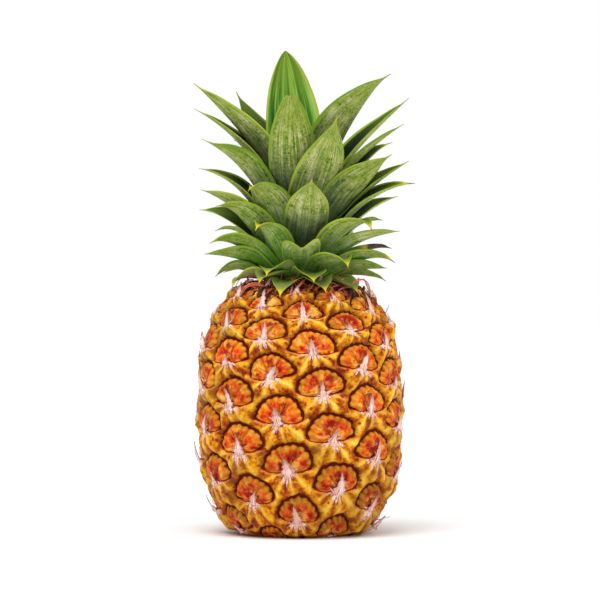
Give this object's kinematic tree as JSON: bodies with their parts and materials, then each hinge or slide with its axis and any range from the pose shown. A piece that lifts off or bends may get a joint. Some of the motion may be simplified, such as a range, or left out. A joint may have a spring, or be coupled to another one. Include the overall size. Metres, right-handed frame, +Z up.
{
  "type": "pineapple",
  "caption": "Whole ripe pineapple standing on its base: a barrel-shaped fruit with spiral eyes and papery bracts, a leafy crown and a cut stalk.",
  "frame": {"origin": "centre of the flat spot that the fruit rests on, on the fruit's own axis and on the stalk's cut face", "axes": "+Z up along the fruit's axis from base to crown, -Y towards the side seen in the picture"},
  "size_m": [0.1285, 0.1198, 0.2812],
  "materials": {
    "ripe_rind": "waxy rind, golden with orange-brown eyes",
    "leaf_green": "waxy leaf, grey-green under a fine bloom",
    "cut_fibre": "dry cut plant fibre"
  },
  "bodies": {
    "root": {"fruit": "ripe_rind", "crown": "leaf_green", "stalk": "cut_fibre"}
  },
  "joints": []
}
